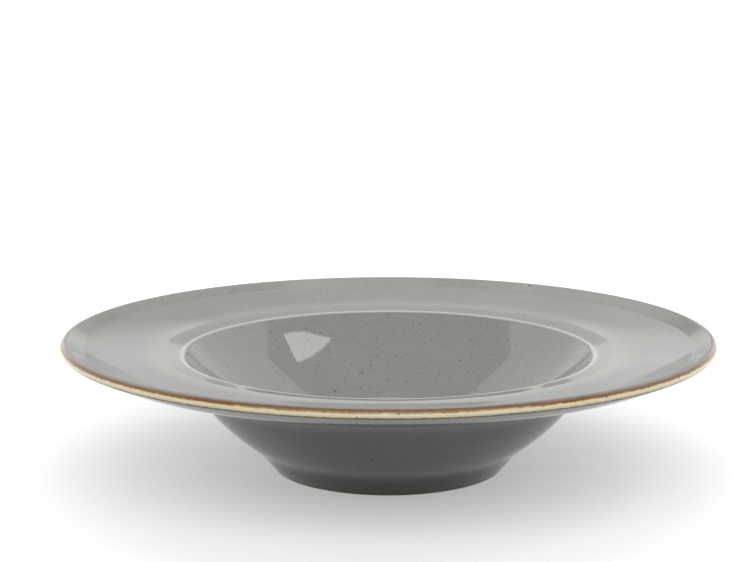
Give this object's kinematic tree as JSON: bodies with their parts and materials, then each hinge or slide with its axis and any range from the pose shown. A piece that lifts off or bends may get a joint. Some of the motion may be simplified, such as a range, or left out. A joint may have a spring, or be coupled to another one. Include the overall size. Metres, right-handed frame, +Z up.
{
  "type": "pasta plate",
  "caption": "Round stoneware pasta plate with a deep well, a wide sloping rim, a banded lip and a foot ring, for serving pasta, risotto or soup.",
  "frame": {"origin": "middle of the foot ring, on the surface that the plate stands on", "axes": "+Z up along the axis that the plate is turned about; the plate is the same all round, so +X and +Y are any two square directions"},
  "size_m": [0.26, 0.26, 0.055],
  "materials": {
    "bare_clay": "unglazed, ground smooth, under the foot only",
    "upper_grey_glaze": "glossy grey glaze with small brown specks",
    "brown_glaze": "satin brown line, painted by hand",
    "cream_glaze": "satin cream band with a few dark specks",
    "lower_grey_glaze": "glossy grey glaze with sparse brown specks",
    "base_grey_glaze": "glossy grey glaze with sparse brown specks"
  },
  "bodies": {
    "root": {"clay_body": "bare_clay", "upper_glaze": "upper_grey_glaze", "brown_lip_line": "brown_glaze", "cream_lip_band": "cream_glaze", "lower_glaze": "lower_grey_glaze", "base_glaze": "base_grey_glaze"}
  },
  "joints": []
}
